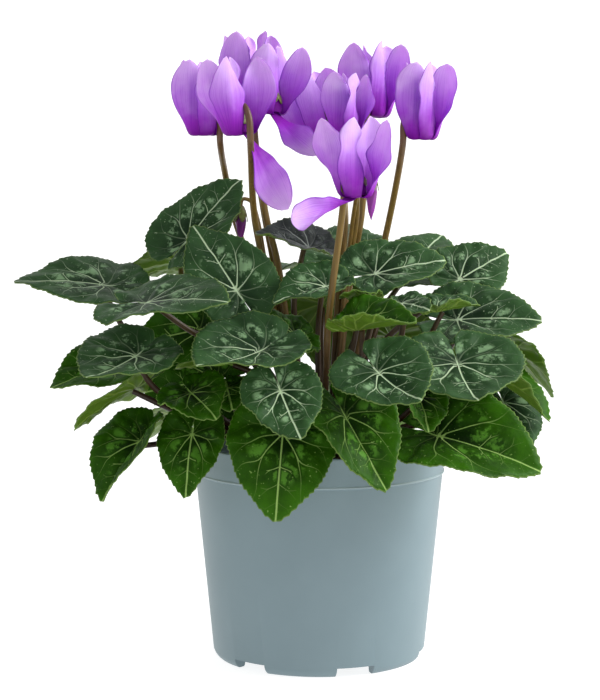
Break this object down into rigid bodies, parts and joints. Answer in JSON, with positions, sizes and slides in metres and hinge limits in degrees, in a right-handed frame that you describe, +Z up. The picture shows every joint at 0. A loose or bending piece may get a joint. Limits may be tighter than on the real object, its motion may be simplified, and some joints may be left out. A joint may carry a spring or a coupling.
{
  "type": "potted cyclamen",
  "caption": "Cyclamen in a tapered plastic grower pot: toothed heart-shaped marbled leaves round a corm, with swept-back violet blooms and hanging buds on upright stalks.",
  "frame": {"origin": "the middle of the flat pad under the pot, on the plane that the pot rests on", "axes": "+Z up along the pot, -Y towards the display side, +X to the right as seen from the display side"},
  "size_m": [0.2681, 0.2024, 0.3045],
  "materials": {
    "pot": "satin",
    "soil": "matte",
    "stalks": "satin",
    "leaf": "satin",
    "petal": "matte",
    "bud": "matte"
  },
  "bodies": {
    "root": {"bloom_centre": "petal", "bloom_centre_back": "petal", "bloom_centre_left": "petal", "bloom_front": "petal", "bloom_left": "petal", "bloom_left_back": "petal", "bloom_left_front": "petal", "bloom_left_top": "petal", "bloom_right": "petal", "bud_large": "bud", "bud_small": "bud", "corm_and_stalks": "stalks", "leaf_back_low_1": "leaf", "leaf_back_low_2": "leaf", "leaf_back_low_3": "leaf", "leaf_back_low_4": "leaf", "leaf_back_middle_1": "leaf", "leaf_back_middle_2": "leaf", "leaf_back_middle_3": "leaf", "leaf_back_shoulder": "leaf", "leaf_centre": "leaf", "leaf_centre_dark": "leaf", "leaf_cupped": "leaf", "leaf_far_left": "leaf", "leaf_far_left_low": "leaf", "leaf_far_left_middle": "leaf", "leaf_far_right": "leaf", "leaf_front_left_middle": "leaf", "leaf_front_low": "leaf", "leaf_front_low_right": "leaf", "leaf_front_middle": "leaf", "leaf_front_right_middle": "leaf", "leaf_front_small": "leaf", "leaf_front_upright": "leaf", "leaf_inner_dark": "leaf", "leaf_inner_lime": "leaf", "leaf_inner_right": "leaf", "leaf_inner_small": "leaf", "leaf_left_dark": "leaf", "leaf_left_flat": "leaf", "leaf_left_folded": "leaf", "leaf_left_inner": "leaf", "leaf_left_lime": "leaf", "leaf_left_low": "leaf", "leaf_left_middle": "leaf", "leaf_left_shadow": "leaf", "leaf_left_small": "leaf", "leaf_right_back": "leaf", "leaf_right_folded": "leaf", "leaf_right_inner": "leaf", "leaf_right_low": "leaf", "leaf_right_middle": "leaf", "leaf_right_shoulder": "leaf", "leaf_right_tip": "leaf", "leaf_top_back": "leaf", "leaf_top_back_right": "leaf", "leaf_top_left": "leaf", "leaf_top_purple": "leaf", "pot": "pot", "soil": "soil"}
  },
  "joints": []
}
